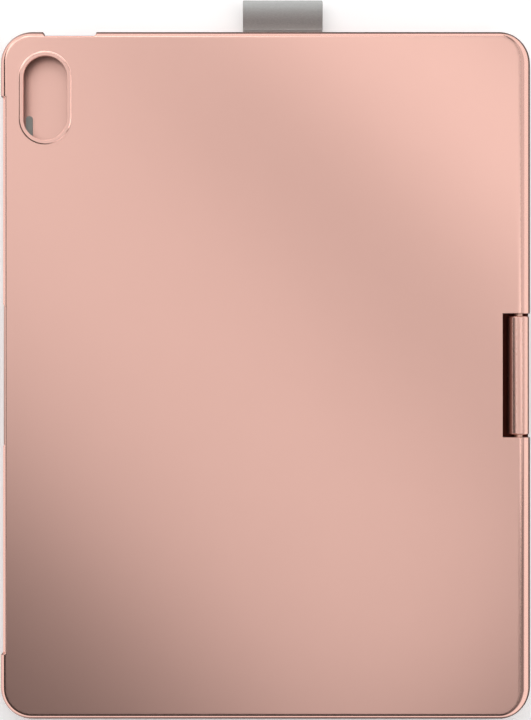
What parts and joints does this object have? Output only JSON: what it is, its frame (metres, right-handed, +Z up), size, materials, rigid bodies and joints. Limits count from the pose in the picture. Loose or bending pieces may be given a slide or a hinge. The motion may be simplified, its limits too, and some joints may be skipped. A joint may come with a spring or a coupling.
{
  "type": "tablet keyboard case",
  "caption": "Closed hard-shell tablet keyboard case: swivelling and tilting lid on a short rear barrel hinge, sprung keys and trackpad inside, camera opening and elastic stylus loop.",
  "frame": {"origin": "on the ground under the middle of the whole footprint, stylus loop included", "axes": "+X along the hinge, away from the side with the stylus loop; +Y from the edge that opens to the hinge; +Z up out of the lid's back"},
  "size_m": [0.2652, 0.1944, 0.0173],
  "materials": {
    "shell": "satin rose-gold anodised metal, fine grain",
    "keycaps": "matte, slightly dished",
    "grey_rubber": "matte grey",
    "hardware": "brushed",
    "dark_metal": "dark bronze, satin",
    "dome_sheet": "translucent silicone",
    "clear_plastic": "clear acrylic",
    "battery_foil": "foil pouch",
    "circuit_board": "green lacquered laminate",
    "dark_plastic": "moulded",
    "trackpad_face": "smooth satin",
    "elastic": "ribbed elastic webbing",
    "felt": "short microfibre nap"
  },
  "bodies": {
    "base": {"base_bottom_cover": "shell", "base_top_deck": "shell", "bottom_screw_1": "hardware", "bottom_screw_2": "hardware", "bottom_screw_3": "hardware", "bottom_screw_4": "hardware", "rubber_foot_1": "grey_rubber", "rubber_foot_2": "grey_rubber", "rubber_foot_3": "grey_rubber", "rubber_foot_4": "grey_rubber", "deck_bumper_1": "grey_rubber", "deck_bumper_2": "grey_rubber", "deck_bumper_3": "grey_rubber", "deck_bumper_4": "grey_rubber", "backlight_panel": "clear_plastic", "key_support_plate": "hardware", "key_dome_sheet": "dome_sheet", "battery_left": "battery_foil", "battery_right": "battery_foil", "main_board": "circuit_board", "charging_port": "hardware", "status_light_pipe": "clear_plastic", "power_switch_body": "dark_plastic", "trackpad_bracket": "hardware", "trackpad_click_switch": "dark_plastic", "pencil_loop": "elastic", "pencil_loop_clamp": "hardware", "hinge_block": "dark_metal"},
    "swivel": {"swivel_post": "hardware", "swivel_washer": "hardware", "swivel_nut": "hardware", "hinge_barrel": "shell", "hinge_pin_left": "hardware", "hinge_pin_right": "hardware"},
    "lid": {"lid_shell": "shell", "tray_lining": "felt", "lid_hinge_bracket_left": "hardware", "lid_hinge_bracket_right": "hardware", "spine_trim_left": "shell", "spine_trim_right": "shell"},
    "function_row_keys": {"function_row_keys": "keycaps"},
    "number_row_keys": {"number_row_keys": "keycaps"},
    "backspace_key": {"backspace_key": "keycaps"},
    "tab_key": {"tab_key": "keycaps"},
    "upper_letter_keys": {"upper_letter_keys": "keycaps"},
    "caps_lock_key": {"caps_lock_key": "keycaps"},
    "home_letter_keys": {"home_letter_keys": "keycaps"},
    "enter_key": {"enter_key": "keycaps"},
    "left_shift_key": {"left_shift_key": "keycaps"},
    "lower_letter_keys": {"lower_letter_keys": "keycaps"},
    "right_shift_key": {"right_shift_key": "keycaps"},
    "left_modifier_keys": {"left_modifier_keys": "keycaps"},
    "space_bar": {"space_bar": "keycaps"},
    "right_modifier_keys": {"right_modifier_keys": "keycaps"},
    "arrow_left_key": {"arrow_left_key": "keycaps"},
    "arrow_up_key": {"arrow_up_key": "keycaps"},
    "arrow_down_key": {"arrow_down_key": "keycaps"},
    "arrow_right_key": {"arrow_right_key": "keycaps"},
    "trackpad": {"trackpad_plate": "trackpad_face"},
    "power_switch": {"power_switch_knob": "dark_plastic"}
  },
  "joints": [
    {"name": "swivel_turn", "type": "hinge", "parent": "base", "child": "swivel", "pos_m": [0.00665, 0.09295, 0], "axis": [0, 0, 1], "range_deg": [-180, 180]},
    {"name": "lid_tilt", "type": "hinge", "parent": "swivel", "child": "lid", "pos_m": [0.00665, 0.09295, 0.0128], "axis": [-1, 0, 0], "range_deg": [0, 135]},
    {"name": "function_row_keys_press", "type": "slide", "parent": "base", "child": "function_row_keys", "axis": [0, 0, -1], "range_m": [0, 0.0011], "stiffness_N_per_m": 350, "springref_m": -0.001},
    {"name": "number_row_keys_press", "type": "slide", "parent": "base", "child": "number_row_keys", "axis": [0, 0, -1], "range_m": [0, 0.0011], "stiffness_N_per_m": 350, "springref_m": -0.001},
    {"name": "backspace_key_press", "type": "slide", "parent": "base", "child": "backspace_key", "axis": [0, 0, -1], "range_m": [0, 0.0011], "stiffness_N_per_m": 350, "springref_m": -0.001},
    {"name": "tab_key_press", "type": "slide", "parent": "base", "child": "tab_key", "axis": [0, 0, -1], "range_m": [0, 0.0011], "stiffness_N_per_m": 350, "springref_m": -0.001},
    {"name": "upper_letter_keys_press", "type": "slide", "parent": "base", "child": "upper_letter_keys", "axis": [0, 0, -1], "range_m": [0, 0.0011], "stiffness_N_per_m": 350, "springref_m": -0.001},
    {"name": "caps_lock_key_press", "type": "slide", "parent": "base", "child": "caps_lock_key", "axis": [0, 0, -1], "range_m": [0, 0.0011], "stiffness_N_per_m": 350, "springref_m": -0.001},
    {"name": "home_letter_keys_press", "type": "slide", "parent": "base", "child": "home_letter_keys", "axis": [0, 0, -1], "range_m": [0, 0.0011], "stiffness_N_per_m": 350, "springref_m": -0.001},
    {"name": "enter_key_press", "type": "slide", "parent": "base", "child": "enter_key", "axis": [0, 0, -1], "range_m": [0, 0.0011], "stiffness_N_per_m": 350, "springref_m": -0.001},
    {"name": "left_shift_key_press", "type": "slide", "parent": "base", "child": "left_shift_key", "axis": [0, 0, -1], "range_m": [0, 0.0011], "stiffness_N_per_m": 350, "springref_m": -0.001},
    {"name": "lower_letter_keys_press", "type": "slide", "parent": "base", "child": "lower_letter_keys", "axis": [0, 0, -1], "range_m": [0, 0.0011], "stiffness_N_per_m": 350, "springref_m": -0.001},
    {"name": "right_shift_key_press", "type": "slide", "parent": "base", "child": "right_shift_key", "axis": [0, 0, -1], "range_m": [0, 0.0011], "stiffness_N_per_m": 350, "springref_m": -0.001},
    {"name": "left_modifier_keys_press", "type": "slide", "parent": "base", "child": "left_modifier_keys", "axis": [0, 0, -1], "range_m": [0, 0.0011], "stiffness_N_per_m": 350, "springref_m": -0.001},
    {"name": "space_bar_press", "type": "slide", "parent": "base", "child": "space_bar", "axis": [0, 0, -1], "range_m": [0, 0.0011], "stiffness_N_per_m": 350, "springref_m": -0.001},
    {"name": "right_modifier_keys_press", "type": "slide", "parent": "base", "child": "right_modifier_keys", "axis": [0, 0, -1], "range_m": [0, 0.0011], "stiffness_N_per_m": 350, "springref_m": -0.001},
    {"name": "arrow_left_key_press", "type": "slide", "parent": "base", "child": "arrow_left_key", "axis": [0, 0, -1], "range_m": [0, 0.0011], "stiffness_N_per_m": 350, "springref_m": -0.001},
    {"name": "arrow_up_key_press", "type": "slide", "parent": "base", "child": "arrow_up_key", "axis": [0, 0, -1], "range_m": [0, 0.0011], "stiffness_N_per_m": 350, "springref_m": -0.001},
    {"name": "arrow_down_key_press", "type": "slide", "parent": "base", "child": "arrow_down_key", "axis": [0, 0, -1], "range_m": [0, 0.0011], "stiffness_N_per_m": 350, "springref_m": -0.001},
    {"name": "arrow_right_key_press", "type": "slide", "parent": "base", "child": "arrow_right_key", "axis": [0, 0, -1], "range_m": [0, 0.0011], "stiffness_N_per_m": 350, "springref_m": -0.001},
    {"name": "trackpad_click", "type": "hinge", "parent": "base", "child": "trackpad", "pos_m": [0.00665, -0.0242, 0.007], "axis": [1, 0, 0], "range_deg": [0, 0.6], "stiffness_Nm_per_rad": 3, "springref_deg": -1.15},
    {"name": "power_switch_slide", "type": "slide", "parent": "base", "child": "power_switch", "axis": [0, 1, 0], "range_m": [0, 0.003]}
  ]
}
